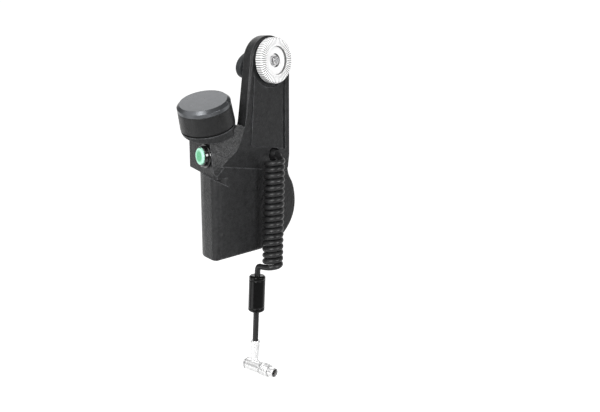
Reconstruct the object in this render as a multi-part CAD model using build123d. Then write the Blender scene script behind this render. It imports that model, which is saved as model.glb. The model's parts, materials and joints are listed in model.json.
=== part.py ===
from build123d import *
import math
import os

os.makedirs("parts", exist_ok=True)

# Camera hand grip with a tilted control dial, a run button, a toothed mounting rosette
# with its clamp knob, and a curly lead that ends in a right-angle push-pull plug.
# Millimetres. The origin is the centre of the rosette's mating face.
# +X leaves the rosette, -Y is the front (dial and button), +Z is up.

# ---- driving dimensions -------------------------------------------------------------
ROSETTE_R = 15.9          # 31.8 mm toothed rosette
ROSETTE_TEETH = 60
ROSETTE_BACK = -6.2       # back of the wide rim
NEAR_X = -7.6             # near face of the arm
ARM_FAR_X = -15.6         # far face of the arm
BACK_Y = 20.7             # back edge of the arm
ARM_R = 19.4              # round top of the arm, and its centre
ARM_Y = 1.3
ARM_Z = -2.2
GRIP_NEAR_X = -8.2        # near face of the grip handle
GRIP_FAR_X = -42.0
GRIP_BOTTOM_Z = -135.5
GRIP_TOP_Z = -76.6        # where the grip handle meets the nose
NOSE_FAR_X = -47.0
SPLIT_X = -25.0           # joint between the two housing halves
WALL = 2.6
FRONT_HEADING = 15.1      # degrees that the front face turns towards the far side
FRONT_Y = -53.8           # front face at the near corner
NOSE_SETBACK = 0.6        # nose's front face lies this far behind the grip's
FRONT_SLOPE = math.tan(math.radians(FRONT_HEADING))
UNDER_SLOPE = 0.119       # rise of the nose's lower edge towards the far side
BAND_TOP_Z = -64.6        # sloping band across the near face, where the lead leaves (at Y = 0)
BAND_BOTTOM_Z = -76.6
BAND_TILT = 8.6           # degrees that the band drops towards the back
BAND_X = -9.2
SWEEP = [(-23.4, -37), (-28.2, -52.5), (-37.5, -66.6), (-55.0, -79.0)]   # arm's front edge, low down
SWEEP_ENDS = [(-0.14, -0.99), (-0.9, -0.55)]
SWEEP_LONG = [(-22.4, -30), (-23.6, -38), (-28.2, -52.5), (-37.5, -66.6), (-55.0, -79.0), (-62, -82.5)]
FLANK_LEAN = [-16, -16, -17, -13, -2, 0]     # how far the flank runs forward over its depth
FLANK_DEPTH = 5.6
NECK_FRONT = 8.0          # neck under the dial: distances from the dial's axis to its sides
NECK_FAR = 17.0
NECK_NEAR = 13.5
NECK_ROUND = 16.5

M6_R = 3.0                # threaded end of the clamp bolt
BOLT_SHANK_R = 2.5        # the bolt's waist, behind its thread
BOLT_THREAD_X = -4.4      # where the thread starts
BOLT_TIP_X = -0.5
BOLT_TIP_CHAMFER = 0.6
CLIP_FAR_X = -12.9        # retaining clip in the bolt's groove
CLIP_NEAR_X = -12.1
KNOB_NEAR_X = -20.8
KNOB_FAR_X = -26.4
KNOB_HUB = 1.2            # the hub stands this far out of the knob, towards the arm
KNOB_WING = [12.0, 4.6, 0.6]      # mean radius and the first two even harmonics of the winged outline
KNOB_PHASE = 212.0

DIAL_R = 18.5
SKIRT_R = 19.1            # the dial widens slightly towards its lower edge
DIAL_BEVEL = 2.0
DIAL_CAP_LOW = -2.6       # heights inside the dial, from its rim
DIAL_FLOOR = -4.4
GRUB_HEIGHT = -6.2
DIAL_SHAFT_R = 3.0
BUSH_R = 4.5
ENCODER_R = 7.0
DIAL_RIM = Vector(-23.5, -48.2, -28.1)      # centre of the dial's upper rim
DIAL_AXIS = Vector(0.150, -0.345, 0.926).normalized()
DIAL_SKIRT = -16.0        # dial's lower edge, measured along its axis from the rim
SEAT = -17.0              # housing's seat under the dial, on the same measure

BUTTON_CENTRE = Vector(-20.5, -50.3, -63.4)  # on the nose's front face
BARREL_R = 7.05
CAP_R = 5.8
CAP_LOW = -0.9            # the cap's inner end, from the nose's face
PLUNGER_R = 2.15
THREAD_R = 4.2            # threaded neck of the button's barrel
BUTTON_NUT_R = 5.6

SPLIT_GAP = 0.04
RUNNING_GAP = 0.06        # on the radius, between pieces that slide or turn in one another
COVER_DEPTH = 1.4         # pocket for the arm cover
COVER_PROUD = 0.7
GLIDE_R = 4.6             # nylon bush that slides in the arm with the clamp bolt
ROSETTE_HOLE_RING = 11.6
ROSETTE_HOLES = [
    (ROSETTE_HOLE_RING * math.cos(math.radians(a)), ROSETTE_HOLE_RING * math.sin(math.radians(a)))
    for a in (90, 210, 330)
]

BOSS_R = 3.6
BOSSES = [(-26, -126), (-26, -84), (11, -119), (11, -84)]      # housing screws, Y and Z
SCREW_R = 1.25
SCREW_HEAD_R = 2.7
SCREW_SEAT_X = -37.5
SCREW_TIP_X = -13.0
BOARD_X = -19.0           # near side of the circuit board
BOARD_THICK = 1.6
BOARD_Y = -7.5
BOARD_Z = -104.0
BOARD_POSTS = [(BOARD_Y + sy * 11.5, BOARD_Z + sz * 13.5) for sy in (-1, 1) for sz in (-1, 1)]

CORD_D = 4.2
CORD_HOLE_R = 2.15        # bores that the lead passes through
COIL_R = 7.65
COIL_TOP = Vector(1.5, -5.3, -67.2)
COIL_BOTTOM = Vector(1.5, -8.1, -148.6)
EXIT = Vector(-9.4, 4.5, -66.6)             # where the lead leaves its gland
ENTRY_ROUTE = [(-13.2, 4.5, -66.6), (-2.6, 4.5, -66.6), (1.0, 0.5, -69.4)]
TAIL_ROUTE = [(1.6, -13.2, -146.2), (-4.2, -14.4, -146.2), (-7.0, -14.9, -149.4), (-7.0, -18.1, -202.5)]
FERRITE_R = 6.0
FERRITE_LENGTH = 27.0
PLUG_ELBOW = Vector(-7.0, -19.28, -222.0)
PLUG_TRAVEL = 1.5
PLUG_BODY_R = 4.6
PLUG_SLEEVE_R = 4.7
PLUG_GUIDE_R = 3.2        # the shell's waist that the release sleeve slides on
PLUG_NOSE_R = 3.5         # the shell's nose that enters the socket
PLUG_NOSE_FROM = 15.4     # the nose's ends, along the plug's axis from the elbow
PLUG_NOSE_TO = 19.8
PLUG_BORE_R = 2.9
PLUG_INSERT_TO = 18.4
PLUG_STUB = 6.0           # the elbow's stub up to the collet nut
PLUG_STUB_R = 2.9
PLUG_REAR = -8.6
PLUG_NECK = 7.0           # the elbow's barrel ends here, along the plug's axis
NUT_TOP = 19.5
NUT_TOP_R = 3.8


# ---- helpers ------------------------------------------------------------------------
STANDING = (Align.CENTER, Align.CENTER, Align.MIN)


def side_prism(outline, x_from, x_to):
    """A solid with a side outline in Y and Z, from x_from towards +X up to x_to."""
    return extrude(Plane.YZ.offset(x_from) * outline, amount=x_to - x_from)


def tube_x(radius, x_from, x_to, bore=0.0):
    """A round piece along the rosette's axis."""
    solid = Plane.YZ.offset(x_from) * Cylinder(radius, x_to - x_from, align=STANDING)
    if bore:
        solid -= Plane.YZ.offset(x_from - 1) * Cylinder(bore, x_to - x_from + 2, align=STANDING)
    return solid


def turned(frame, profile):
    """A solid of revolution about frame's Z, from (radius, height) points."""
    return frame * revolve(Plane.XZ * make_face(Polyline(*profile, close=True)), Axis.Z)


def cylinder_at(frame, radius, low, high, bore=0.0):
    """A round piece along frame's Z between two heights."""
    solid = frame * Pos(0, 0, low) * Cylinder(radius, high - low, align=STANDING)
    if bore:
        solid -= frame * Pos(0, 0, low - 1) * Cylinder(bore, high - low + 2, align=STANDING)
    return solid


def group(solids):
    """Separate solids that share one node."""
    return Compound(children=list(solids))


def one(shape):
    """The single solid of a shape."""
    solids = shape.solids()
    return max(solids, key=lambda s: s.volume)


DIAL_FRAME = Plane(origin=DIAL_RIM, x_dir=(0.930, 0.367, 0), z_dir=DIAL_AXIS)
BUTTON_DIR = Vector(-math.sin(math.radians(FRONT_HEADING)), -math.cos(math.radians(FRONT_HEADING)), 0)
BUTTON_FRAME = Plane(origin=BUTTON_CENTRE, x_dir=(0, 0, 1), z_dir=BUTTON_DIR)


# ---- housing ------------------------------------------------------------------------
def arm_outline():
    """Rounded arm whose front edge sweeps forward at the bottom, to the nose's lower corner."""
    top = ThreePointArc((BACK_Y, -2.5), (1.4, 17.2), (-18.1, -2.5))
    front = Line((-18.1, -2.5), (-23.4, -37))
    sweep_line = Spline(*SWEEP, tangents=SWEEP_ENDS)
    rest = Polyline(SWEEP[-1], (SWEEP[-1][0], -84), (BACK_Y, -84), (BACK_Y, -2.5))
    return make_face(top + front + sweep_line + rest)


def grip_outline():
    """Side outline of the handle, with the palm swell at the back."""
    heel = Spline(
        (-12, GRIP_BOTTOM_Z), (13.5, -129.6), (26.6, -115.5), (29.0, -103), (25.6, -89), (BACK_Y, -74),
        tangents=[(1, 0), (0, 1)],
    )
    rest = Polyline((BACK_Y, -74), (BACK_Y, -66), (-62, -66), (-62, GRIP_BOTTOM_Z), (-12, GRIP_BOTTOM_Z))
    return make_face(heel + rest)


def nose_outline():
    """Side outline of the nose and of the web behind it."""
    return make_face(
        Polyline(
            (-62, -84), (-62, -59), (-27.5, -43.4), (-24.5, -46),
            (-14, -53), (4, -60), (BACK_Y, -71), (BACK_Y, -84), close=True,
        )
    )


def plan_prism(near_x, far_x, front_y, near_round, far_round, z_from, z_to):
    """Vertical prism: flat near side, front face turned towards the far side, round corners."""
    far_front = front_y + (near_x - far_x) * FRONT_SLOPE
    plan = make_face(Polyline((near_x, 60), (near_x, front_y), (far_x, far_front), (far_x, 60), close=True))
    near_corner = plan.vertices().sort_by_distance((near_x, front_y, 0))[0]
    plan = fillet(near_corner, near_round)
    far_corner = plan.vertices().sort_by_distance((far_x, far_front, 0))[0]
    plan = fillet(far_corner, far_round)
    return Pos(0, 0, z_from) * extrude(plan, amount=z_to - z_from)


def flank_cutter():
    """Scoops the nose's near side back from the sweeping edge of the arm."""
    def region(x, share):
        curve = [(y + share * lean, z) for (y, z), lean in zip(SWEEP_LONG, FLANK_LEAN)]
        edge = Spline(*curve)
        end = curve[-1]
        start = curve[0]
        return Plane.YZ.offset(x) * make_face(edge + Polyline(end, (-85, end[1]), (-85, start[1]), start))

    return loft([region(NEAR_X + FLANK_DEPTH / 4, -0.25), region(NEAR_X - 2 * FLANK_DEPTH, 2.0)])


def half_space(point, normal, reach=120):
    """A big block on the far side of a plane, away from its normal."""
    frame = Plane(origin=point, z_dir=normal)
    return frame * Box(2 * reach, 2 * reach, reach, align=(Align.CENTER, Align.CENTER, Align.MAX))


def under_nose(lift=0.0):
    """Everything below the nose's sloping lower edge."""
    return half_space((-15.2, 0, GRIP_TOP_Z - 1.0 + lift), (UNDER_SLOPE, 0, 1))


def neck_radius(direction):
    """Distance from the dial's axis to the neck's surface: flat front, far and near sides, soft corners."""
    sides = [(BUTTON_DIR, NECK_FRONT), (Vector(-1, 0, 0), NECK_FAR), (Vector(1, 0, 0), NECK_NEAR)]
    power = 7
    total = (1 / NECK_ROUND) ** power
    for normal, gap in sides:
        total += (max(direction.dot(normal), 0) / gap) ** power
    return total ** (-1 / power)


def trumpet():
    """The flare from the neck up to the dial's seat, with a collar that widens on the near side."""
    count = 24
    sections = []
    for height, share in [(SEAT - 0.7, 1.0), (-20.2, 0.34), (-24.0, 0.05), (-30.0, 0.0)]:
        points = []
        for i in range(count):
            angle = 2 * math.pi * i / count
            direction = DIAL_FRAME.x_dir * math.cos(angle) + DIAL_FRAME.y_dir * math.sin(angle)
            neck = neck_radius(direction)
            radius = neck + (SKIRT_R - 0.8 - neck) * share
            points.append((radius * math.cos(angle), radius * math.sin(angle)))
        sections.append(DIAL_FRAME * Pos(0, 0, height) * make_face(Spline(*points, periodic=True)))
    flare = loft(sections)
    seat = cylinder_at(DIAL_FRAME, SKIRT_R - 0.2, SEAT - 0.7, SEAT)
    collar = cylinder_at(Plane.XY, SKIRT_R - 0.5, -23, SEAT - 0.3)
    collar -= half_space((-SKIRT_R, 0, SEAT - 0.9), (0.137, 0, 1))
    return flare + seat + DIAL_FRAME * collar


def tilted(profile):
    """A long prism of an X, Z profile that drops towards the back by the band's tilt."""
    prism = extrude(Plane.XZ.offset(-70) * make_face(Polyline(*profile, close=True)), amount=140)
    return Rot(-BAND_TILT, 0, 0) * prism


def band_cutter():
    """The near face slopes in across a band above the grip."""
    return tilted([(NEAR_X, BAND_TOP_Z), (BAND_X, BAND_BOTTOM_Z), (5, BAND_BOTTOM_Z), (5, BAND_TOP_Z)])


def edge_chamfer():
    """Cuts the bright chamfer round the arm's top and down its front edge, on the near side."""
    ring = Polyline((NEAR_X - 2.2, ARM_R + 1), (NEAR_X + 1, ARM_R + 1), (NEAR_X + 1, ARM_R - 2.2), close=True)
    band = Pos(0, ARM_Y, ARM_Z) * revolve(Plane.XY * make_face(ring), Axis.X)
    band -= Pos(0, ARM_Y, ARM_Z - 50) * Box(100, 100, 100)
    along = Vector(0, -5.3, -34.5)
    outward = Vector(0, -0.988, 0.152)
    frame = Plane(origin=(NEAR_X, -18.1, -2.5), x_dir=outward, z_dir=along)
    side = 1 if frame.y_dir.X > 0 else -1
    wedge = []
    for reach, size in [(-0.4, 1.2), (along.length, 0.4)]:
        corner = Polyline((1, side), (1, -side * (1 + size)), (-1 - size, side), close=True)
        wedge.append(frame * Pos(0, 0, reach) * make_face(corner))
    return band + loft(wedge)


def housing_outside():
    arm = side_prism(arm_outline(), ARM_FAR_X, NEAR_X)
    arm -= edge_chamfer()
    arm &= plan_prism(NEAR_X, -20, FRONT_Y + NOSE_SETBACK, 7.0, 1.0, -84, 30)
    arm -= under_nose()
    side = side_prism(grip_outline(), GRIP_FAR_X, GRIP_NEAR_X)
    back_edges = side.edges().filter_by(lambda e: e.center().Y > -30 and e.center().Z < -68)
    side = fillet(back_edges.filter_by(lambda e: e.center().X < GRIP_FAR_X + 0.1), 11.0)
    near_edges = side.edges().filter_by(
        lambda e: e.center().Y > -30 and e.center().Z < -68 and e.center().X > GRIP_NEAR_X - 0.1
    )
    side = fillet(near_edges, 2.5)
    soft = side & plan_prism(GRIP_NEAR_X, GRIP_FAR_X, FRONT_Y, 10.5, 26.0, -140, -66)
    crisp = side & plan_prism(GRIP_NEAR_X, GRIP_FAR_X, FRONT_Y, 5.0, 26.0, -140, -70)
    crisp &= half_space((-15.2, -52, GRIP_TOP_Z - 1.0), (0.254, 0.5, 1))
    front_top = half_space((0, -40, 0), (0, 1, 0)) - under_nose()
    grip = (soft - front_top) + crisp
    nose = side_prism(nose_outline(), NOSE_FAR_X, NEAR_X)
    nose &= plan_prism(NEAR_X, NOSE_FAR_X, FRONT_Y + NOSE_SETBACK, 3.0, 3.0, -90, -30)
    nose -= flank_cutter()
    nose -= under_nose()
    grip_step = tilted([(GRIP_NEAR_X, BAND_BOTTOM_Z), (GRIP_NEAR_X, -110), (5, -110), (5, BAND_BOTTOM_Z)])
    return (arm + nose - grip_step) + grip - band_cutter() + trumpet()


def cavity():
    """The hollow inside the two housing halves."""
    floor = GRIP_BOTTOM_Z + WALL
    heel = Spline(
        (-12, floor), (12.3, -127.2), (24.0, -114.6), (26.3, -103), (23.0, -89.6), (18.0, -75),
        tangents=[(1, 0), (0, 1)],
    )
    rest = Polyline((18.0, -75), (18.0, -70), (-62, -70), (-62, floor), (-12, floor))
    grip = side_prism(make_face(heel + rest), GRIP_FAR_X + WALL, GRIP_NEAR_X - WALL)
    far_edges = grip.edges().filter_by(
        lambda e: e.center().Y > -30 and e.center().Z < -76 and e.center().X < GRIP_FAR_X + WALL + 0.1
    )
    grip = fillet(far_edges, 8.4)
    grip &= plan_prism(GRIP_NEAR_X - WALL, GRIP_FAR_X + WALL, FRONT_Y + WALL + 0.9, 4.0, 22.0, -140, -74)
    web = make_face(Polyline((-60, -75), (-60, -63), (-30, -60), (0, -65.5), (15, -73), (15, -75), close=True))
    nose = side_prism(web, NOSE_FAR_X + WALL, -12.0)
    nose &= plan_prism(-12.0, NOSE_FAR_X + WALL, FRONT_Y + NOSE_SETBACK + WALL + 0.9, 2.0, 2.0, -90, -40)
    nose -= side_prism(Pos(-50, -68) * Rectangle(30, 14), -15.5, -10)
    column = cylinder_at(DIAL_FRAME, ENCODER_R + 1.2, -38, -20.4)
    return grip + nose + column


def housing_boss(y, z, x_from, x_to):
    return Pos(0, y, z) * tube_x(BOSS_R, x_from, x_to)


def housings(outside):
    """Near and far halves, with screw bosses, board posts and every opening."""
    shell = outside - cavity()
    for y, z in BOSSES:
        shell += housing_boss(y, z, GRIP_FAR_X + WALL / 2, GRIP_NEAR_X - WALL / 2)
    for y, z in BOARD_POSTS:
        shell += Pos(0, y, z) * tube_x(2.4, BOARD_X, GRIP_NEAR_X - WALL / 2)
        shell -= Pos(0, y, z) * tube_x(0.9, BOARD_X - 1, BOARD_X + 6)
    for y, z in BOSSES:
        shell -= Pos(0, y, z) * tube_x(SCREW_R + 0.05, -40, SCREW_TIP_X + 0.6)
        shell -= Pos(0, y, z) * tube_x(SCREW_HEAD_R + 0.3, -60, SCREW_SEAT_X)
    shell -= tube_x(GLIDE_R + RUNNING_GAP, ARM_FAR_X - 1, NEAR_X + 1)
    for y, z in ROSETTE_HOLES:
        shell -= Pos(0, y, z) * tube_x(1.35, ARM_FAR_X - 1, NEAR_X + 1)
        shell -= Pos(0, y, z) * tube_x(2.5, ARM_FAR_X - 1, ARM_FAR_X + 1.8)
    shell -= side_prism(cover_pocket(), NEAR_X - COVER_DEPTH, NEAR_X + 1)
    shell -= cylinder_at(DIAL_FRAME, BUSH_R, -24, SEAT + 1)
    shell -= cylinder_at(BUTTON_FRAME, BARREL_R + 0.05, -2.4, 6)
    shell -= cylinder_at(BUTTON_FRAME, THREAD_R + 0.05, -14, 0)
    shell -= cylinder_at(BUTTON_FRAME, BUTTON_NUT_R + 0.3, -6.2, -3.6)
    shell -= BUTTON_FRAME * Pos(0, 0, -10.6) * Box(6.6, 6.6, 9.4)
    shell -= Pos(0, EXIT.Y, EXIT.Z) * tube_x(5.4, -11.4, 0)
    shell -= Pos(0, EXIT.Y, EXIT.Z) * tube_x(3.4, -14, 0)
    near = shell - Pos(SPLIT_X + SPLIT_GAP / 2 - 100, 0, -60) * Box(200, 300, 300)
    far = shell - Pos(SPLIT_X - SPLIT_GAP / 2 + 100, 0, -60) * Box(200, 300, 300)
    return one(near), one(far)


def cover_pocket(inset=0.0):
    """Long recess on the arm's near face, round-topped about the rosette."""
    top_r = 18.6 + inset
    low = -61.6 + inset
    back = 16.2 - inset
    front_top = -15.8 + inset
    front_low = -19.6 + inset
    arc_at = lambda y: -math.sqrt(top_r ** 2 - y ** 2)
    arc = ThreePointArc((front_top, arc_at(front_top)), (0, -top_r), (back, arc_at(back)))
    drop = math.tan(math.radians(BAND_TILT))
    rest = Polyline(
        (back, arc_at(back)), (back, low - drop * back), (front_low, low - drop * front_low),
        (front_top, arc_at(front_top)),
    )
    return make_face(arc + rest)


def arm_cover():
    """Cover over the wiring channel: a raised panel and a lower strip along its back edge."""
    plate = side_prism(cover_pocket(0.25), NEAR_X - COVER_DEPTH + 0.02, NEAR_X + COVER_PROUD)
    step = Pos(NEAR_X + 2 - 0.9, 14.6, -40) * Box(4, 3.2, 90)
    groove = Pos(NEAR_X + 2 - 1.3, 13.0, -40) * Box(4, 0.7, 90)
    return one(plate - step - groove)


# ---- rosette and clamp --------------------------------------------------------------
def rosette():
    profile = [
        (-7.6, 3.2), (-7.6, 13.5), (ROSETTE_BACK, 13.5), (ROSETTE_BACK, ROSETTE_R - 0.7),
        (ROSETTE_BACK + 0.6, ROSETTE_R - 0.1), (-1.3, ROSETTE_R), (0, ROSETTE_R - 1.1),
        (0, 10.2), (-0.3, 10.0), (-2.2, 10.0), (-2.2, 4.85), (-4.2, 4.85), (-4.2, 3.2),
    ]
    disc = revolve(Plane.XY * make_face(Polyline(*profile, close=True)), Axis.X)
    inner = make_face(Polyline((0.4, 0.83), (-0.42, 0), (0.4, -0.83), close=True))
    outer = make_face(Polyline((0.4, 1.35), (-1.0, 0), (0.4, -1.35), close=True))
    notch = loft([Plane.XZ.offset(-9.5) * inner, Plane.XZ.offset(-17.5) * outer])
    notches = [Rot(360 * i / ROSETTE_TEETH, 0, 0) * notch for i in range(ROSETTE_TEETH)]
    disc -= notches
    for y, z in ROSETTE_HOLES:
        disc -= Pos(0, y, z) * tube_x(1.0, -8, -4.6)
    return one(disc)


def rosette_screws():
    screws = []
    for y, z in ROSETTE_HOLES:
        head = tube_x(2.3, ARM_FAR_X + 0.1, ARM_FAR_X + 1.75)
        screw = head + tube_x(1.0, ARM_FAR_X + 1.7, -4.9)
        screw -= tube_x(0.9, ARM_FAR_X - 1, ARM_FAR_X + 0.9)
        screws.append(one(Pos(0, y, z) * screw))
    return group(screws)


def clamp_knob():
    """Knob with two broad wings."""
    count = 36
    points = []
    for i in range(count):
        angle = 360 * i / count
        turn = math.radians(angle - KNOB_PHASE)
        radius = KNOB_WING[0] + KNOB_WING[1] * math.cos(2 * turn) + KNOB_WING[2] * math.cos(4 * turn)
        points.append((radius * math.cos(math.radians(angle)), radius * math.sin(math.radians(angle))))
    outline = make_face(Spline(*points, periodic=True))
    knob = side_prism(outline, KNOB_FAR_X, KNOB_NEAR_X)
    knob = fillet(knob.edges().filter_by(lambda e: e.length > 30), 1.6)
    knob += tube_x(7.0, KNOB_NEAR_X - 1, KNOB_NEAR_X + KNOB_HUB)
    knob -= tube_x(6.5, KNOB_FAR_X - 1, KNOB_FAR_X + 0.8)
    knob -= tube_x(BOLT_SHANK_R, KNOB_FAR_X + 1.6, KNOB_NEAR_X + KNOB_HUB + 1)
    return one(knob)


def clamp_bolt():
    """Captive bolt: a thin shank, a threaded end with a hexagon socket, and a groove for its clip."""
    bolt = tube_x(BOLT_SHANK_R, KNOB_FAR_X + 1.6, BOLT_THREAD_X) + tube_x(M6_R, BOLT_THREAD_X, BOLT_TIP_X)
    tip = bolt.edges().filter_by(GeomType.CIRCLE).sort_by(Axis.X)[-1]
    bolt = chamfer(tip, BOLT_TIP_CHAMFER)
    hexagon = Plane.YZ.offset(BOLT_TIP_X - 1.9) * RegularPolygon(1.75, 6)
    bolt -= extrude(hexagon, amount=4)
    bolt -= tube_x(M6_R, CLIP_FAR_X - 0.1, CLIP_NEAR_X + 0.1, BOLT_SHANK_R - 0.5)
    return one(bolt)


# ---- dial ---------------------------------------------------------------------------
def dial_body():
    profile = [
        (DIAL_SHAFT_R, -8.0), (14.6, -8.0), (14.6, DIAL_SKIRT), (SKIRT_R - 0.5, DIAL_SKIRT),
        (SKIRT_R, DIAL_SKIRT + 0.5), (DIAL_R + 0.05, DIAL_CAP_LOW - 0.3), (DIAL_R - 0.3, DIAL_CAP_LOW),
        (12.05, DIAL_CAP_LOW), (12.05, DIAL_FLOOR), (DIAL_SHAFT_R, DIAL_FLOOR),
    ]
    body = turned(DIAL_FRAME, profile)
    body -= DIAL_FRAME * Pos(7.5, 0, GRUB_HEIGHT) * Rot(0, 90, 0) * Cylinder(1.05, 9.1)
    return one(body)


def dial_cap():
    profile = [
        (0, DIAL_FLOOR), (12.0, DIAL_FLOOR), (12.0, DIAL_CAP_LOW), (DIAL_R, DIAL_CAP_LOW), (DIAL_R, 0),
        (DIAL_R - DIAL_BEVEL, DIAL_BEVEL), (0, DIAL_BEVEL),
    ]
    return one(turned(DIAL_FRAME, profile))


def dial_shaft():
    return one(cylinder_at(DIAL_FRAME, DIAL_SHAFT_R, -22.4, DIAL_FLOOR))


def dial_bushing():
    bore = DIAL_SHAFT_R + 0.05
    flange = cylinder_at(DIAL_FRAME, 6.4, -21.8, -20.5, bore)
    return one(flange + cylinder_at(DIAL_FRAME, BUSH_R, -21.8, -9.6, bore))


def dial_nut():
    nut = DIAL_FRAME * Pos(0, 0, SEAT) * extrude(RegularPolygon(7.0, 6), amount=2.2)
    return one(nut - cylinder_at(DIAL_FRAME, BUSH_R, -24, -4))


def dial_seal():
    return one(cylinder_at(DIAL_FRAME, SKIRT_R - 1.0, SEAT, SEAT + 0.55, 15.2))


def centring_spring():
    """Torsion spring that turns the dial back to its middle."""
    coil = Helix(pitch=1.0, height=4.5, radius=11.2)
    wire = sweep(Plane(origin=coil @ 0, z_dir=coil % 0) * Circle(0.38), path=coil)
    return one(DIAL_FRAME * Pos(0, 0, -14.3) * wire)


def dial_encoder():
    case = cylinder_at(DIAL_FRAME, ENCODER_R, -29.5, -22.5)
    rim = cylinder_at(DIAL_FRAME, ENCODER_R - 0.6, -22.6, -21.8, 3.4)
    terminals = DIAL_FRAME * Pos(0, 0, -30.5) * Box(6, 1.2, 2.2)
    return one(case + rim + terminals)


def dial_grub_screw():
    screw = DIAL_FRAME * Pos(5.6, 0, GRUB_HEIGHT) * Rot(0, 90, 0) * Cylinder(1.0, 5.0)
    hexagon = extrude(RegularPolygon(0.55, 6), amount=1.0)
    socket = DIAL_FRAME * Pos(7.6, 0, GRUB_HEIGHT) * Rot(0, 90, 0) * hexagon
    return one(screw - socket)


# ---- button -------------------------------------------------------------------------
def button_ring():
    bore = BARREL_R + 0.02
    profile = [(bore, 0.24), (8.3, 0.24), (8.3, 0.7), (7.9, 1.1), (bore, 1.1)]
    return one(turned(BUTTON_FRAME, profile))


def button_barrel():
    bore = CAP_R + 0.12
    profile = [
        (bore, 3.3), (CAP_R + 0.5, 3.7), (BARREL_R - 0.5, 3.7), (BARREL_R, 3.2), (BARREL_R, -2.35),
        (THREAD_R, -2.35), (THREAD_R, -7.4), (PLUNGER_R + 0.05, -7.4), (PLUNGER_R + 0.05, -2.2), (bore, -2.2),
    ]
    return one(turned(BUTTON_FRAME, profile))


def button_cap():
    cap = Cylinder(CAP_R, 5.9, align=STANDING)
    cap = fillet(cap.edges().filter_by(GeomType.CIRCLE).sort_by(Axis.Z)[-1], 0.9)
    return one(BUTTON_FRAME * Pos(0, 0, CAP_LOW) * cap)


def button_plunger():
    return one(cylinder_at(BUTTON_FRAME, PLUNGER_R, -8.0, CAP_LOW))


def button_nut():
    return one(cylinder_at(BUTTON_FRAME, BUTTON_NUT_R, -5.6, -3.62, THREAD_R))


def button_switch():
    case = BUTTON_FRAME * Pos(0, 0, -11.6) * Box(6.0, 6.0, 4.4)
    feet = [BUTTON_FRAME * Pos(0, y, -14.2) * Box(1.2, 0.6, 1.4) for y in (-2, 2)]
    return one(case + feet)


# ---- inside the grip ----------------------------------------------------------------
def circuit_board():
    board = Pos(BOARD_X - BOARD_THICK / 2, BOARD_Y, BOARD_Z) * Box(BOARD_THICK, 28, 32)
    for y, z in BOARD_POSTS:
        board -= Pos(0, y, z) * tube_x(1.1, BOARD_X - 3, BOARD_X + 1)
    return one(board)


def board_parts():
    x = BOARD_X - BOARD_THICK
    chips = [
        Pos(x - 0.6, BOARD_Y - 2, BOARD_Z) * Box(1.2, 9, 9),
        Pos(x - 0.5, BOARD_Y + 8, BOARD_Z - 6) * Box(1.0, 4, 5),
        Pos(x - 0.9, BOARD_Y - 9.5, BOARD_Z + 8) * Box(1.8, 3.2, 2.4),
        Pos(0, BOARD_Y + 7, BOARD_Z + 4) * tube_x(2.0, x - 4.2, x),
    ]
    return group(chips)


def board_socket():
    x = BOARD_X - BOARD_THICK
    body = Pos(x - 2.2, BOARD_Y + 1, BOARD_Z + 12.5) * Box(4.4, 12, 4.6)
    body -= Pos(x - 2.4, BOARD_Y + 1, BOARD_Z + 14.5) * Box(2.6, 10, 4.6)
    return one(body)


def board_screws():
    screws = []
    for y, z in BOARD_POSTS:
        head = tube_x(1.9, BOARD_X - BOARD_THICK - 1.3, BOARD_X - BOARD_THICK)
        screw = head + tube_x(0.85, BOARD_X - BOARD_THICK - 0.4, BOARD_X + 4.5)
        screws.append(one(Pos(0, y, z) * screw))
    return group(screws)


def housing_screws():
    screws = []
    for y, z in BOSSES:
        head = tube_x(SCREW_HEAD_R, SCREW_SEAT_X - 2.0, SCREW_SEAT_X)
        head -= Plane.YZ.offset(SCREW_SEAT_X - 2.2) * extrude(RegularPolygon(1.25, 6), amount=1.4)
        screws.append(one(Pos(0, y, z) * (head + tube_x(SCREW_R, SCREW_SEAT_X - 0.1, SCREW_TIP_X))))
    return group(screws)


# ---- lead ---------------------------------------------------------------------------
def cable_gland():
    profile = [
        (-13.6, CORD_HOLE_R), (-13.6, 3.35), (-11.35, 3.35), (-11.35, 4.9), (-10.0, 4.9), (-9.4, 4.0),
        (-5.2, 3.1), (-4.9, 2.8), (-4.9, CORD_HOLE_R),
    ]
    return one(Pos(0, EXIT.Y, EXIT.Z) * revolve(Plane.XY * make_face(Polyline(*profile, close=True)), Axis.X))


def route_tube(name, route):
    """A plain tube along straight runs joined by tangent arcs."""
    points = [Vector(*p) for p in route]
    radii = []
    for before, corner, after in zip(points, points[1:], points[2:]):
        turn = (corner - before).get_angle(after - corner)
        shorter = min((corner - before).length, (after - corner).length)
        radii.append(0.45 * shorter / math.tan(math.radians(turn / 2)))
    path = FilletPolyline(*points, radius=radii)
    solid = sweep(Plane(origin=points[0], z_dir=points[1] - points[0]) * Circle(CORD_D / 2), path=path)
    section = math.pi * CORD_D ** 2 / 4
    print(name, "radii", [round(r, 1) for r in radii], "volume / section x length",
          round(one(solid).volume / (section * path.length), 4))
    return one(solid)


def cord_coil():
    axis = COIL_BOTTOM - COIL_TOP
    return one(cylinder_at(Plane(origin=COIL_TOP, z_dir=axis), COIL_R, 0, axis.length))


def ferrite_bead():
    last, nut = Vector(*TAIL_ROUTE[-2]), Vector(*TAIL_ROUTE[-1])
    frame = Plane(origin=last, z_dir=nut - last)
    profile = [
        (2.2, 3.8), (FERRITE_R - 1.0, 3.8), (FERRITE_R, 4.8), (FERRITE_R, FERRITE_LENGTH + 2.8),
        (FERRITE_R - 1.0, FERRITE_LENGTH + 3.8), (2.2, FERRITE_LENGTH + 3.8),
    ]
    return one(turned(frame, profile))


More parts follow.
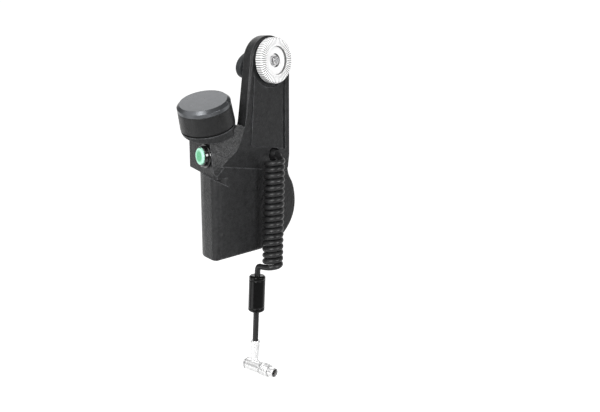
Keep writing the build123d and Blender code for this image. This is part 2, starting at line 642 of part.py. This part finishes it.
# ---- plug ---------------------------------------------------------------------------
CORD_UP = (Vector(*TAIL_ROUTE[-2]) - Vector(*TAIL_ROUTE[-1])).normalized()
PLUG_FRAME = Plane(origin=PLUG_ELBOW, x_dir=(1, 0, 0), z_dir=CORD_UP)
PLUG_AXIS = Plane(origin=PLUG_ELBOW, z_dir=(1, 0, 0))


def plug_nut():
    """Collet nut that widens towards the lead, with two spanner flats."""
    profile = [
        (CORD_HOLE_R, PLUG_STUB), (PLUG_STUB_R + 0.1, PLUG_STUB), (NUT_TOP_R, NUT_TOP - 0.8),
        (NUT_TOP_R - 0.4, NUT_TOP), (CORD_HOLE_R, NUT_TOP),
    ]
    nut = turned(PLUG_FRAME, profile)
    flat = Pos(NUT_TOP_R + 1.6, 0, NUT_TOP - 5.0) * Box(4, 12, 4)
    for angle in (0, 180):
        nut -= PLUG_FRAME * Rot(0, 0, angle) * flat
    return one(nut)


def plug_elbow():
    barrel = cylinder_at(PLUG_AXIS, PLUG_BODY_R, -4.0, PLUG_NECK)
    stub = cylinder_at(PLUG_FRAME, PLUG_STUB_R, 0, PLUG_STUB)
    body = barrel + stub
    body -= cylinder_at(PLUG_FRAME, CORD_HOLE_R, 3.0, PLUG_STUB + 1)
    body -= cylinder_at(PLUG_AXIS, PLUG_GUIDE_R, 4.0, PLUG_NECK + 1)
    return one(body)


def plug_rear_cap():
    profile = [
        (0, PLUG_REAR), (3.9, PLUG_REAR), (4.5, PLUG_REAR + 0.6), (4.5, PLUG_REAR + 1.7),
        (4.1, PLUG_REAR + 1.7), (4.1, PLUG_REAR + 2.4), (PLUG_BODY_R, PLUG_REAR + 2.4), (PLUG_BODY_R, -4.0),
        (0, -4.0),
    ]
    return one(turned(PLUG_AXIS, profile))


def plug_shell():
    profile = [
        (PLUG_BORE_R, 4.0), (PLUG_GUIDE_R, 4.0), (PLUG_GUIDE_R, PLUG_NOSE_FROM), (PLUG_NOSE_R, PLUG_NOSE_FROM),
        (PLUG_NOSE_R, PLUG_NOSE_TO), (3.25, PLUG_NOSE_TO + 0.6), (PLUG_BORE_R, PLUG_NOSE_TO + 0.6),
    ]
    return one(turned(PLUG_AXIS, profile))


def plug_insert():
    return one(cylinder_at(PLUG_AXIS, PLUG_BORE_R, 10.0, PLUG_INSERT_TO))


def plug_pins():
    pins = []
    for i in range(4):
        angle = math.radians(45 + 90 * i)
        pin = PLUG_AXIS * Pos(1.35 * math.cos(angle), 1.35 * math.sin(angle), 0) * Plane.XY
        pins.append(one(cylinder_at(pin, 0.35, PLUG_INSERT_TO, PLUG_INSERT_TO + 1.5)))
    return group(pins)


def plug_sleeve():
    low = PLUG_NECK + PLUG_TRAVEL + 0.2
    high = PLUG_NOSE_FROM - 0.2
    bore = PLUG_GUIDE_R + RUNNING_GAP
    groove = PLUG_SLEEVE_R - 0.25
    profile = [(bore, low), (PLUG_SLEEVE_R - 0.2, low)]
    profile += [(PLUG_SLEEVE_R, low + 0.3), (PLUG_SLEEVE_R, low + 1.6)]
    for i in range(4):
        start = low + 1.6 + 0.9 * i
        profile += [(PLUG_SLEEVE_R, start), (groove, start + 0.2)]
        profile += [(groove, start + 0.5), (PLUG_SLEEVE_R, start + 0.7)]
    profile += [(PLUG_SLEEVE_R, high - 0.9), (PLUG_SLEEVE_R - 0.4, high), (bore, high)]
    cleaned = [p for i, p in enumerate(profile) if i == 0 or p != profile[i - 1]]
    return one(turned(PLUG_AXIS, cleaned))


# ---- everything ---------------------------------------------------------------------
def build():
    near, far = housings(housing_outside())
    parts = {
        "near_housing": near,
        "far_housing": far,
        "arm_cover": arm_cover(),
        "housing_screws": housing_screws(),
        "rosette": rosette(),
        "rosette_screws": rosette_screws(),
        "clamp_knob": clamp_knob(),
        "clamp_bolt": clamp_bolt(),
        "clamp_clip": one(tube_x(4.3, CLIP_FAR_X, CLIP_NEAR_X, BOLT_SHANK_R - 0.45)),
        "glide_bush": one(tube_x(GLIDE_R, -15.2, -13.0, BOLT_SHANK_R + RUNNING_GAP)),
        "dial_body": dial_body(),
        "dial_cap": dial_cap(),
        "dial_shaft": dial_shaft(),
        "dial_grub_screw": dial_grub_screw(),
        "dial_bushing": dial_bushing(),
        "dial_nut": dial_nut(),
        "dial_seal": dial_seal(),
        "centring_spring": centring_spring(),
        "dial_encoder": dial_encoder(),
        "button_ring": button_ring(),
        "button_barrel": button_barrel(),
        "button_cap": button_cap(),
        "button_plunger": button_plunger(),
        "button_nut": button_nut(),
        "button_switch": button_switch(),
        "circuit_board": circuit_board(),
        "board_parts": board_parts(),
        "board_socket": board_socket(),
        "board_screws": board_screws(),
        "cable_gland": cable_gland(),
        "cord_entry": route_tube("cord_entry", ENTRY_ROUTE),
        "cord_coil": cord_coil(),
        "cord_tail": route_tube("cord_tail", TAIL_ROUTE),
        "ferrite_bead": ferrite_bead(),
        "plug_nut": plug_nut(),
        "plug_elbow": plug_elbow(),
        "plug_rear_cap": plug_rear_cap(),
        "plug_shell": plug_shell(),
        "plug_insert": plug_insert(),
        "plug_pins": plug_pins(),
        "plug_sleeve": plug_sleeve(),
    }
    for name, shape in parts.items():
        export_step(shape, os.path.join("parts", name + ".step"))


build()
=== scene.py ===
import json
import math
import bpy
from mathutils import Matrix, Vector


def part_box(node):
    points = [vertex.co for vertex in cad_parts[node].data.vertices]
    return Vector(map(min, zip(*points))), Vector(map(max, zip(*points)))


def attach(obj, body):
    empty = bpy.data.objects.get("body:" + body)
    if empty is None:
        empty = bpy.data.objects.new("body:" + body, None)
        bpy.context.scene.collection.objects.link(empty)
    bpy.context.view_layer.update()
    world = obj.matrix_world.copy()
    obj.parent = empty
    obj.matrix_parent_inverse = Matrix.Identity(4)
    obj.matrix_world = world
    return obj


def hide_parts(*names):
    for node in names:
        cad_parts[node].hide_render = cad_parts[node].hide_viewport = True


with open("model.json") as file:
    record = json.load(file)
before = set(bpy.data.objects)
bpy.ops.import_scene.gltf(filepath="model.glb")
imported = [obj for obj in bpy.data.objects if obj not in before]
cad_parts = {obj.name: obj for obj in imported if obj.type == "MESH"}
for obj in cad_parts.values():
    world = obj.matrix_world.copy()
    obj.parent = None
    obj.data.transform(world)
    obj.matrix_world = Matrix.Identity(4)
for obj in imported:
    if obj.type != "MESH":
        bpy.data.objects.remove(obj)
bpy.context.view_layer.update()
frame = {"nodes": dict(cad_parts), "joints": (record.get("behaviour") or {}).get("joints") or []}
nodes = frame["nodes"]

MM = 0.001
X_AXIS = Vector((1, 0, 0))
Y_AXIS = Vector((0, 1, 0))
Z_AXIS = Vector((0, 0, 1))
ORIGIN = Vector((0, 0, 0))

# ---- camera -------------------------------------------------------------------------
CAMERA_HEADING = math.radians(41.0)  # from +Y towards -X
CAMERA_DIP = math.radians(11.7)      # below the level
CAMERA_PLACE = Vector((0.362, -0.3924, 0.0072))
LENS_MM = 45.24
SENSOR_MM = 36.0
NEAR_CLIP = 0.01
BEHIND = Vector((-math.sin(CAMERA_HEADING), math.cos(CAMERA_HEADING), 0))  # level, away from the camera

# ---- lead: the part's route, with points added near its corners; ENTRY and TAIL in mm --
CORD_D = 4.2 * MM
ENTRY = [(-12.0, 4.5, -66.6), (-6.0, 4.5, -66.6), (-2.6, 4.2, -66.8), (-0.2, 1.6, -68.2)]
COIL_TOP = Vector((1.5, -5.3, -69.3)) * MM
COIL_BOTTOM = Vector((1.5, -8.0, -146.4)) * MM
COIL_MEAN_R = 5.55 * MM
COIL_START = 70.0              # degrees round the coil, from +X towards +Y
COIL_SWEEP = 17 * 360 + 168.0  # degrees, clockwise from above
STEPS_PER_TURN = 16
TAIL = [
    (-2.8, -14.3, -146.5), (-6.2, -14.7, -146.3), (-7.0, -14.9, -149.4), (-7.0, -15.1, -153.2),
    (-7.0, -18.1, -202.5),
]

# ---- marks and places on the round pieces ---------------------------------------------
ROSETTE_TEETH = 60.0
ROSETTE_TURNING = 26000.0                # turning marks, in radians a metre: one every 0.24 mm
BOLT_TURNING = 22000.0                   # the same for the others
DIAL_TURNING = 19000.0
DRUM_RINGS = 14000.0
PLUG_TURNING = 21000.0
ROSETTE_EDGE = (15.3 * MM, 15.7 * MM)    # radii between which the face passes into the rim
ROSETTE_TOOTHED = (9.8 * MM, 11.2 * MM)  # radii between which the teeth begin
ROSETTE_RECESS = 10.5 * MM               # steep faces inside this radius are walls of the recess, painted dark as a reflection
BEAD_GROOVE = 3.4 * MM                   # from each end of the ferrite bead
BEAD_GROOVE_HALF = 0.6 * MM              # half of the groove's width
CAP_RIM = (3.8 * MM, 5.8 * MM)           # radii between which the button's cap turns pale
CAP_UNEVEN = 1.6 * MM                    # how far the border of that rim wanders

# ---- numbers that several materials share ---------------------------------------------
NOISE = (0.3, 0.7)         # most of a noise's values lie between these
CLOUDS = (0.94, 1.05)      # darkest and palest part of a faintly clouded grey
HOLLOW = (0.25, 0.8)       # ambient occlusion in a deep hollow, and where the painted shade ends
CORNER = (0.995, 0.93)     # rounded normal times true normal: where the painted edge highlight and wear begin, and where they are full
SHEEN_AND_WEAR_SCALE = 210           # of the noise that breaks the painted edge highlight into patches like wear
SHEEN_AND_WEAR_PATCHES = (0.35, 0.6, 0.35, 1.0)  # that noise, from and to, and the share of painted highlight and wear, from and to
BEVEL_SAMPLES = 6
SHADE_SAMPLES = 12

# ---- floor, background and lights -----------------------------------------------------
FLOOR_REACH = 12.0
FLOOR_HEIGHT = -0.62
FLOOR_SEEN = 0.85  # how bright the camera sees the floor and the background at least
SKY_SEEN = 1.05
LIGHT_AIM = Vector((-0.02, -0.02, -0.09))
LIGHTS = [  # name, place, diameter in metres, watts
    ("key", (-0.3, -0.9, 0.85), 1.5, 6.0),
    ("right", (1.06, 0.06, 0.2), 0.5, 7.2),
    ("front", (0.42, -1.03, 0.25), 0.5, 8.5),
    ("low", (-0.35, -0.85, -0.45), 0.6, 1.6),
    ("glint", (0.3, -0.8, 0.66), 0.42, 2.4),
    ("top", (-0.7, 0.42, 0.78), 0.9, 2.4),
]


def new_object(name, data):
    made = bpy.data.objects.new(name, data)
    bpy.context.scene.collection.objects.link(made)
    return made


def make_camera():
    data = bpy.data.cameras.new("camera")
    data.lens = LENS_MM
    data.sensor_width = SENSOR_MM
    data.clip_start = NEAR_CLIP
    camera = new_object("camera", data)
    camera.location = CAMERA_PLACE
    camera.rotation_euler = (math.pi / 2 - CAMERA_DIP, 0, CAMERA_HEADING)
    bpy.context.scene.camera = camera


# ---- lead ---------------------------------------------------------------------------
def curl():
    """Control points of the curly part.

    They lie a little outside the turns, because the spline cuts the corners.
    """
    count = round(COIL_SWEEP / 360 * STEPS_PER_TURN)
    reach = COIL_MEAN_R / math.cos(math.pi / STEPS_PER_TURN)
    points = []
    for i in range(count + 1):
        share = i / count
        angle = math.radians(COIL_START - COIL_SWEEP * share)
        centre = COIL_TOP.lerp(COIL_BOTTOM, share)
        points.append(centre + Vector((math.cos(angle), math.sin(angle), 0)) * reach)
    return points


def make_cord():
    """The whole lead as one spline, from the gland to the plug."""
    data = bpy.data.curves.new("cord_line", "CURVE")
    data.dimensions = "3D"
    data.bevel_depth = 1.0  # times the radius of each point
    data.bevel_resolution = 5
    data.resolution_u = 4
    data.use_fill_caps = True
    entry = [Vector(point) * MM for point in ENTRY]
    tail = [Vector(point) * MM for point in TAIL]
    points = entry + curl() + tail
    spline = data.splines.new("NURBS")
    spline.points.add(len(points) - 1)
    for slot, place in zip(spline.points, points):
        slot.co = (*place, 1)
        slot.radius = CORD_D / 2
    spline.order_u = 3
    spline.use_endpoint_u = True
    cord = new_object("cord_line", data)
    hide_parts("cord_entry", "cord_coil", "cord_tail")
    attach(cord, "grip")
    return cord


# ---- node helpers -------------------------------------------------------------------
class Graph:
    """A node tree, with short calls for the nodes that are used here."""

    def __init__(self, tree):
        self.tree = tree

    def node(self, kind, **settings):
        made = self.tree.nodes.new(kind)
        for key, value in settings.items():
            setattr(made, key, value)
        return made

    def link(self, source, target):
        """Joins a socket to an input, or sets the input to a plain value."""
        if isinstance(source, bpy.types.NodeSocket):
            self.tree.links.new(source, target)
        else:
            target.default_value = source

    def maths(self, operation, a, b=0.0, c=0.0):
        made = self.node("ShaderNodeMath", operation=operation)
        for value, socket in zip((a, b, c), made.inputs):
            self.link(value, socket)
        return made.outputs[0]

    def dot(self, a, b):
        made = self.node("ShaderNodeVectorMath", operation="DOT_PRODUCT")
        self.link(a, made.inputs[0])
        self.link(b, made.inputs[1])
        return made.outputs["Value"]

    def length(self, a, b):
        squares = self.maths("ADD", self.maths("MULTIPLY", a, a), self.maths("MULTIPLY", b, b))
        return self.maths("SQRT", squares)

    def spread(self, value, low, high, to_low, to_high):
        """Maps low to to_low and high to to_high, and holds the value beyond them."""
        made = self.node("ShaderNodeMapRange")
        limits = {"From Min": low, "From Max": high, "To Min": to_low, "To Max": to_high}
        for key, number in limits.items():
            made.inputs[key].default_value = number
        self.link(value, made.inputs["Value"])
        return made.outputs["Result"]

    def seen_as(self, white, strength):
        """The brighter of a strength and, to the camera alone, a plain white."""
        path = self.node("ShaderNodeLightPath")
        straight = self.maths("MULTIPLY", path.outputs["Is Camera Ray"], white)
        return self.maths("MAXIMUM", straight, strength)


class Mat(Graph):
    """A procedural material. Heights, edge radii and reaches are in millimetres, places in metres."""

    def __init__(self, name, colour, rough, metal=0.0, specular=0.5):
        self.mat = bpy.data.materials.new(name)
        self.mat.use_nodes = True
        super().__init__(self.mat.node_tree)
        self.shader = self.tree.nodes["Principled BSDF"]
        self.shader.inputs["Base Color"].default_value = (*colour, 1)
        self.shader.inputs["Roughness"].default_value = rough
        self.shader.inputs["Metallic"].default_value = metal
        self.shader.inputs["Specular IOR Level"].default_value = specular
        self.colour = colour
        self.rough = rough
        self.place = self.node("ShaderNodeTexCoord").outputs["Object"]
        self.height = None

    def noise(self, scale, detail=3.0, rough=0.5, stretch=(1, 1, 1), distortion=0.0):
        mapping = self.node("ShaderNodeMapping")
        mapping.inputs["Scale"].default_value = stretch
        self.link(self.place, mapping.inputs["Vector"])
        made = self.node("ShaderNodeTexNoise")
        made.inputs["Scale"].default_value = scale
        made.inputs["Detail"].default_value = detail
        made.inputs["Roughness"].default_value = rough
        made.inputs["Distortion"].default_value = distortion
        self.link(mapping.outputs["Vector"], made.inputs["Vector"])
        return made.outputs["Fac"]

    def cells(self, scale):
        made = self.node("ShaderNodeTexVoronoi", feature="F1")
        made.inputs["Scale"].default_value = scale
        self.link(self.place, made.inputs["Vector"])
        return made.outputs["Distance"]

    def along(self, centre, direction):
        """Distance from a centre, measured along a direction."""
        shifted = self.node("ShaderNodeVectorMath", operation="SUBTRACT")
        self.link(self.place, shifted.inputs[0])
        self.link(centre, shifted.inputs[1])
        return self.dot(shifted.outputs[0], direction)

    def radius_about(self, centre, axis):
        """Distance from the axis through a centre."""
        across = axis.orthogonal().normalized()
        return self.length(self.along(centre, across), self.along(centre, axis.cross(across)))

    def true_normal(self):
        return self.node("ShaderNodeNewGeometry").outputs["Normal"]

    def soft_normal(self, radius):
        """The normal of edges that are rounded by a radius."""
        bevel = self.node("ShaderNodeBevel", samples=BEVEL_SAMPLES)
        bevel.inputs["Radius"].default_value = radius * MM
        return bevel.outputs["Normal"]

    def ramp(self, value, start, end, first, last):
        """Base colour that runs from the first colour, at start, to the last, at end."""
        made = self.node("ShaderNodeValToRGB")
        for stop, place, colour in zip(made.color_ramp.elements, (start, end), (first, last)):
            stop.position = place
            stop.color = (*colour, 1)
        self.link(value, made.inputs["Fac"])
        self.link(made.outputs["Color"], self.shader.inputs["Base Color"])

    def vary_rough(self, value, amount):
        rough = self.spread(value, *NOISE, self.rough - amount, self.rough + amount)
        self.link(rough, self.shader.inputs["Roughness"])

    def vary_colour(self, value, dark, light):
        darker = [c * dark for c in self.colour]
        lighter = [min(c * light, 1) for c in self.colour]
        self.ramp(value, *NOISE, darker, lighter)

    def paint_hollow_shade(self, cloud, light, dark, reach, painted_shade=None):
        """A faintly clouded grey, with shade painted into the hollows, and darker still under a given
        painted-shade mask.
        """
        shade = self.node("ShaderNodeAmbientOcclusion", samples=SHADE_SAMPLES)
        shade.inputs["Distance"].default_value = reach * MM
        # painted shade: the grey darkens where ambient occlusion finds a hollow
        grey = self.spread(shade.outputs["AO"], *HOLLOW, dark, light)
        grey = self.maths("MULTIPLY", grey, self.spread(cloud, *NOISE, *CLOUDS))
        # more painted shade, from the mask that is passed in
        if painted_shade is not None:
            grey = self.maths("MULTIPLY", grey, self.maths("SUBTRACT", 1.0, painted_shade))
        colour = self.node("ShaderNodeCombineColor")
        for socket in colour.inputs[:3]:
            self.link(grey, socket)
        self.link(colour.outputs["Color"], self.shader.inputs["Base Color"])

    def paint_edge_sheen_and_wear(self, radius, gain):
        """Paints the corners paler, as a highlight in patches like wear, where the rounded normal leaves
        the true one.
        """
        # painted highlight: paler where a corner is rounded, broken into patches of wear
        alike = self.dot(self.soft_normal(radius), self.true_normal())
        corner = self.spread(alike, *CORNER, 0.0, 1.0)
        patches = self.spread(self.noise(SHEEN_AND_WEAR_SCALE, detail=4), *SHEEN_AND_WEAR_PATCHES)
        mix = self.node("ShaderNodeMix", data_type="RGBA")
        base = self.shader.inputs["Base Color"]
        self.link(self.maths("MULTIPLY", corner, patches), mix.inputs["Factor"])
        self.link(base.links[0].from_socket, mix.inputs["A"])
        mix.inputs["B"].default_value = (*[c * gain for c in self.colour], 1)
        self.link(mix.outputs["Result"], base)

    def add_height(self, value, height):
        value = self.maths("MULTIPLY", value, height * MM)
        self.height = value if self.height is None else self.maths("ADD", self.height, value)

    def add_grooves(self, distance, frequency, height):
        """Turning marks: a wave of so many radians a metre."""
        self.add_height(self.maths("SINE", self.maths("MULTIPLY", distance, frequency)), height)

    def finish(self, edge=0.0):
        """Gives the shader its normal, from the heights and the rounded edges."""
        normal = self.soft_normal(edge) if edge else None
        if self.height is not None:
            bump = self.node("ShaderNodeBump")
            bump.inputs["Strength"].default_value = 1.0
            bump.inputs["Distance"].default_value = 1.0
            self.link(self.height, bump.inputs["Height"])
            if normal is not None:
                self.link(normal, bump.inputs["Normal"])
            normal = bump.outputs["Normal"]
        if normal is not None:
            self.link(normal, self.shader.inputs["Normal"])
        return self.mat


# ---- frames of the round pieces -------------------------------------------------------
def joint(name):
    return next(row for row in frame["joints"] if row["name"] == name)


def middle_of(name):
    low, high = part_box(name)
    return (low + high) / 2


DIAL_AXIS = Vector(joint("dial_turn")["axis"]).normalized()
DIAL_CENTRE = Vector(joint("dial_turn")["pos_m"])
BUTTON_AXIS = Vector(joint("button_press")["axis"]).normalized()


# ---- materials: metals ----------------------------------------------------------------
def rosette_metal():
    """Pale satin metal, painted with shade in the tooth roots and hollows, and a dark reflection on the
    recess walls.
    """
    m = Mat("rosette_metal", (0.9, 0.9, 0.905), 0.32, metal=0.05, specular=0.8)
    y = m.along(ORIGIN, Y_AXIS)
    z = m.along(ORIGIN, Z_AXIS)
    radius = m.length(y, z)
    root = m.maths("COSINE", m.maths("MULTIPLY", m.maths("ARCTAN2", z, y), ROSETTE_TEETH))
    rim = m.spread(radius, *ROSETTE_EDGE, 0.0, 1.0)
    m.add_grooves(radius, ROSETTE_TURNING, 0.0015)
    m.add_height(m.maths("MULTIPLY", root, rim), -0.2)
    m.add_height(m.noise(2400, detail=2), 0.0012)
    m.vary_rough(m.noise(400, detail=4), 0.05)
    toothed = m.spread(radius, *ROSETTE_TOOTHED, 0.0, 1.0)
    # painted shade: dark lines in the tooth roots
    root_shade = m.maths("MULTIPLY", m.spread(root, 0.1, 0.9, 0.0, 0.88), toothed)
    # painted dark reflection on the steep walls of the recess
    steep = m.spread(m.maths("ABSOLUTE", m.dot(m.true_normal(), X_AXIS)), 0.6, 0.3, 0.0, 0.92)
    painted_wall_reflection = m.maths("MULTIPLY", steep, m.maths("LESS_THAN", radius, ROSETTE_RECESS))
    # base colour with painted shade from ambient occlusion, the tooth-root lines and the recess walls
    m.paint_hollow_shade(m.noise(700, detail=3), 1.0, 0.12, 0.9, m.maths("MAXIMUM", root_shade, painted_wall_reflection))
    return m.finish()


def turned_metal(name, colour, rough, metal=1.0, faced=False):
    """Turned metal. A faced piece has turning marks about the X axis."""
    m = Mat(name, colour, rough, metal=metal)
    if faced:
        m.add_grooves(m.radius_about(ORIGIN, X_AXIS), BOLT_TURNING, 0.0012)
    m.add_height(m.noise(2000, detail=3), 0.0015)
    m.vary_rough(m.noise(500, detail=4), 0.06)
    m.vary_colour(m.noise(900, detail=2), 0.92, 1.05)
    return m.finish(edge=0.15)


def dial_top():
    """Satin anodised top: very fine turning marks, and a bevel that the light catches."""
    m = Mat("dial_top", (0.118, 0.123, 0.13), 0.31, metal=0.85)
    m.add_grooves(m.radius_about(DIAL_CENTRE, DIAL_AXIS), DIAL_TURNING, 0.0004)
    m.add_height(m.noise(1800, detail=3), 0.0006)
    m.vary_rough(m.noise(420, detail=4), 0.04)
    m.vary_colour(m.noise(300, detail=4), 0.94, 1.06)
    return m.finish(edge=0.35)


def plug_metal():
    """Bright plated metal with turning marks along the plug, and painted shade in its hollows."""
    m = Mat("plug_metal", (0.85, 0.85, 0.86), 0.24, metal=0.65)
    m.add_grooves(m.along(middle_of("plug_shell"), X_AXIS), PLUG_TURNING, 0.0012)
    m.add_height(m.noise(2400, detail=2), 0.001)
    m.vary_rough(m.noise(500, detail=4), 0.05)
    # painted shade in the plug's hollows, from ambient occlusion
    m.paint_hollow_shade(m.noise(700, detail=2), 0.92, 0.12, 1.0)
    return m.finish(edge=0.12)


def spring_steel():
    m = Mat("spring_steel", (0.55, 0.55, 0.56), 0.28, metal=1.0)
    m.add_height(m.noise(2500, detail=3, stretch=(1, 1, 0.2)), 0.006)
    m.vary_rough(m.noise(900, detail=3), 0.06)
    return m.finish()


# ---- materials: mouldings -------------------------------------------------------------
def textured_shell(name, colour, height):
    """Housing with a wrinkled finish, and a painted highlight on its corners in patches like wear."""
    m = Mat(name, colour, 0.4, specular=0.3)
    grain = m.noise(460, detail=4, rough=0.6, distortion=0.7)
    m.add_height(grain, height)
    m.add_height(m.cells(820), height * 0.6)
    m.add_height(m.noise(2600, detail=2), height * 0.1)
    m.vary_rough(grain, 0.09)
    m.vary_colour(m.noise(330, detail=5, rough=0.75), 0.45, 1.55)
    # painted highlight on the corners, in patches of wear
    m.paint_edge_sheen_and_wear(0.7, 6.5)
    return m.finish(edge=0.5)


def dial_drum():
    """Dark side of the dial, with rings round it and a grain over them."""
    m = Mat("dial_drum", (0.0055, 0.0056, 0.006), 0.38, specular=0.42)
    m.add_grooves(m.along(DIAL_CENTRE, DIAL_AXIS), DRUM_RINGS, 0.004)
    m.add_height(m.noise(520, detail=4, rough=0.6, distortion=0.6), 0.3)
    m.vary_rough(m.noise(300, detail=4), 0.07)
    m.vary_colour(m.noise(300, detail=5, rough=0.7), 0.6, 1.4)
    return m.finish(edge=0.3)


def plastic(name, colour, rough, grain=0.02, specular=0.5, edge=0.25, coat=0.0):
    """Plain moulding, with a coat of lacquer if it is a glossy one."""
    m = Mat(name, colour, rough, specular=specular)
    m.add_height(m.noise(1400, detail=4), grain)
    m.add_height(m.noise(260, detail=2), grain * 0.8)
    m.vary_rough(m.noise(350, detail=4), min(0.05, rough * 0.3))
    m.vary_colour(m.noise(180, detail=3), 0.9, 1.1)
    m.shader.inputs["Coat Weight"].default_value = coat
    m.shader.inputs["Coat Roughness"].default_value = 0.06
    return m.finish(edge=edge)


def green_cap():
    """Moulded cap: a pale rim round a deeper middle, with an uneven border between them."""
    m = Mat("green_cap", (0.16, 0.74, 0.38), 0.3)
    radius = m.radius_about(middle_of("button_cap"), BUTTON_AXIS)
    uneven = m.maths("MULTIPLY_ADD", m.noise(420, detail=3), CAP_UNEVEN, radius)
    rim = m.spread(uneven, *CAP_RIM, 0.0, 1.0)
    m.ramp(rim, 0.0, 1.0, (0.085, 0.42, 0.2), (0.42, 0.8, 0.62))
    m.add_height(m.noise(900, detail=3), 0.02)
    m.vary_rough(m.noise(500, detail=3), 0.05)
    return m.finish(edge=0.4)


def cord_sheath():
    """Satin sheath, with faint dents and rubbed patches."""
    m = Mat("cord_sheath", (0.015, 0.015, 0.0155), 0.36, specular=0.34)
    m.add_height(m.noise(1600, detail=4), 0.02)
    m.add_height(m.noise(330, detail=3), 0.03)
    m.vary_rough(m.noise(240, detail=4), 0.09)
    m.vary_colour(m.noise(150, detail=4), 0.75, 1.35)
    return m.finish()


def bead_sleeve():
    """Glossy sleeve with a fine groove round it near each end."""
    m = Mat("bead_sleeve", (0.004, 0.004, 0.004), 0.16, specular=0.22)
    low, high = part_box("ferrite_bead")
    height = m.along(ORIGIN, Z_AXIS)
    for groove in (low.z + BEAD_GROOVE, high.z - BEAD_GROOVE):
        gap = m.maths("ABSOLUTE", m.maths("SUBTRACT", height, groove))
        m.add_height(m.spread(gap, 0.0, BEAD_GROOVE_HALF, -1.0, 0.0), 0.3)
    m.add_height(m.noise(500, detail=2), 0.02)
    m.vary_rough(m.noise(350, detail=4), 0.05)
    m.vary_colour(m.noise(180, detail=3), 0.8, 1.2)
    return m.finish(edge=0.6)


def circuit_green():
    """Board with raised copper areas under its green lacquer."""
    m = Mat("circuit_green", (0.01, 0.12, 0.05), 0.35)
    areas = m.noise(420, detail=0)
    m.add_height(m.maths("GREATER_THAN", areas, 0.54), 0.03)
    m.vary_colour(areas, 0.7, 1.5)
    m.vary_rough(m.noise(500, detail=2), 0.05)
    return m.finish(edge=0.1)


SHELL = textured_shell("shell_finish", (0.0155, 0.0158, 0.0165), 0.28)
COVER = textured_shell("cover_finish", (0.015, 0.0153, 0.016), 0.26)
STEEL = turned_metal("screw_steel", (0.5, 0.5, 0.51), 0.3)
BRASS = turned_metal("turned_brass", (0.7, 0.5, 0.2), 0.28)
BOLT = turned_metal("bolt_metal", (0.86, 0.86, 0.87), 0.24, metal=0.9, faced=True)
KNOB = plastic("knob_plastic", (0.034, 0.036, 0.038), 0.5, grain=0.05, specular=0.2, edge=0.5)
NYLON = plastic("natural_nylon", (0.72, 0.7, 0.64), 0.45)
CHIPS = plastic("moulded_black", (0.02, 0.02, 0.02), 0.5)
GLOSS = plastic("gloss_black", (0.006, 0.006, 0.006), 0.1, grain=0.004, coat=0.6, edge=0.3)
SEAL = plastic("seal_rubber", (0.008, 0.008, 0.008), 0.7, grain=0.03, specular=0.25)
# insert darkest black and pins dull dark grey: own colours, darkened further as painted shade in the
# plug's opening
SOCKET = plastic("socket_black", (0.003, 0.003, 0.003), 0.6, specular=0.1)
PINS = turned_metal("pin_metal", (0.3, 0.28, 0.27), 0.4, metal=0.8)
SHEATH = cord_sheath()
PLUG = plug_metal()

FINISHES = {
    "near_housing": SHELL, "far_housing": SHELL, "arm_cover": COVER,
    "housing_screws": STEEL, "rosette_screws": STEEL, "board_screws": STEEL,
    "rosette": rosette_metal(), "clamp_knob": KNOB, "clamp_bolt": BOLT, "clamp_clip": STEEL,
    "glide_bush": NYLON,
    "dial_body": dial_drum(), "dial_cap": dial_top(), "dial_shaft": STEEL, "dial_grub_screw": STEEL,
    "dial_bushing": BRASS, "dial_nut": STEEL, "dial_seal": SEAL, "centring_spring": spring_steel(),
    "dial_encoder": STEEL,
    "button_ring": GLOSS, "button_barrel": GLOSS, "button_cap": green_cap(), "button_plunger": NYLON,
    "button_nut": BRASS, "button_switch": CHIPS,
    "circuit_board": circuit_green(), "board_parts": CHIPS, "board_socket": NYLON,
    "cable_gland": SHEATH, "ferrite_bead": bead_sleeve(),
    "plug_nut": PLUG, "plug_elbow": PLUG, "plug_rear_cap": PLUG, "plug_shell": PLUG, "plug_sleeve": PLUG,
    "plug_insert": SOCKET, "plug_pins": PINS,
}


def dress(cord):
    for name, finish in FINISHES.items():
        data = nodes[name].data
        data.materials.clear()
        data.materials.append(finish)
    cord.data.materials.append(SHEATH)


# ---- floor, background and lights -----------------------------------------------------
def make_floor():
    """Pale paper below the object, which glows behind it and looks white to the camera."""
    paper = Mat("floor_paper", (0.78, 0.78, 0.78), 0.9)
    glow = paper.spread(paper.dot(paper.place, BEHIND), 0.1, 0.6, 0.0, 0.9)
    paper.shader.inputs["Emission Color"].default_value = (1, 1, 1, 1)
    paper.link(paper.seen_as(FLOOR_SEEN, glow), paper.shader.inputs["Emission Strength"])
    data = bpy.data.meshes.new("floor")
    corners = [
        (x * FLOOR_REACH, y * FLOOR_REACH, FLOOR_HEIGHT) for x, y in ((-1, -1), (1, -1), (1, 1), (-1, 1))
    ]
    data.from_pydata(corners, [], [(0, 1, 2, 3)])
    data.materials.append(paper.mat)
    new_object("floor", data)


def make_world():
    """A pale studio: white where it is seen, dimmer as a lamp, and brighter behind the object."""
    world = bpy.data.worlds.new("studio")
    world.use_nodes = True
    sky = Graph(world.node_tree)
    background = sky.tree.nodes["Background"]
    background.inputs["Color"].default_value = (1, 1, 1, 1)
    direction = sky.node("ShaderNodeTexCoord").outputs["Generated"]
    fade = sky.spread(sky.dot(direction, BEHIND), 0.7, 0.92, 0.2, 1.05)
    sky.link(sky.seen_as(SKY_SEEN, fade), background.inputs["Strength"])
    bpy.context.scene.world = world


def area_light(name, place, size, power):
    data = bpy.data.lights.new(name, "AREA")
    data.shape = "DISK"
    data.size = size
    data.energy = power
    lamp = new_object(name, data)
    lamp.location = place
    aim = LIGHT_AIM - Vector(place)
    lamp.rotation_euler = aim.to_track_quat("-Z", "Y").to_euler()


make_camera()
dress(make_cord())
make_floor()
make_world()
bpy.context.scene.view_settings.view_transform = "Standard"
for light in LIGHTS:
    area_light(*light)

bpy.context.view_layer.update()
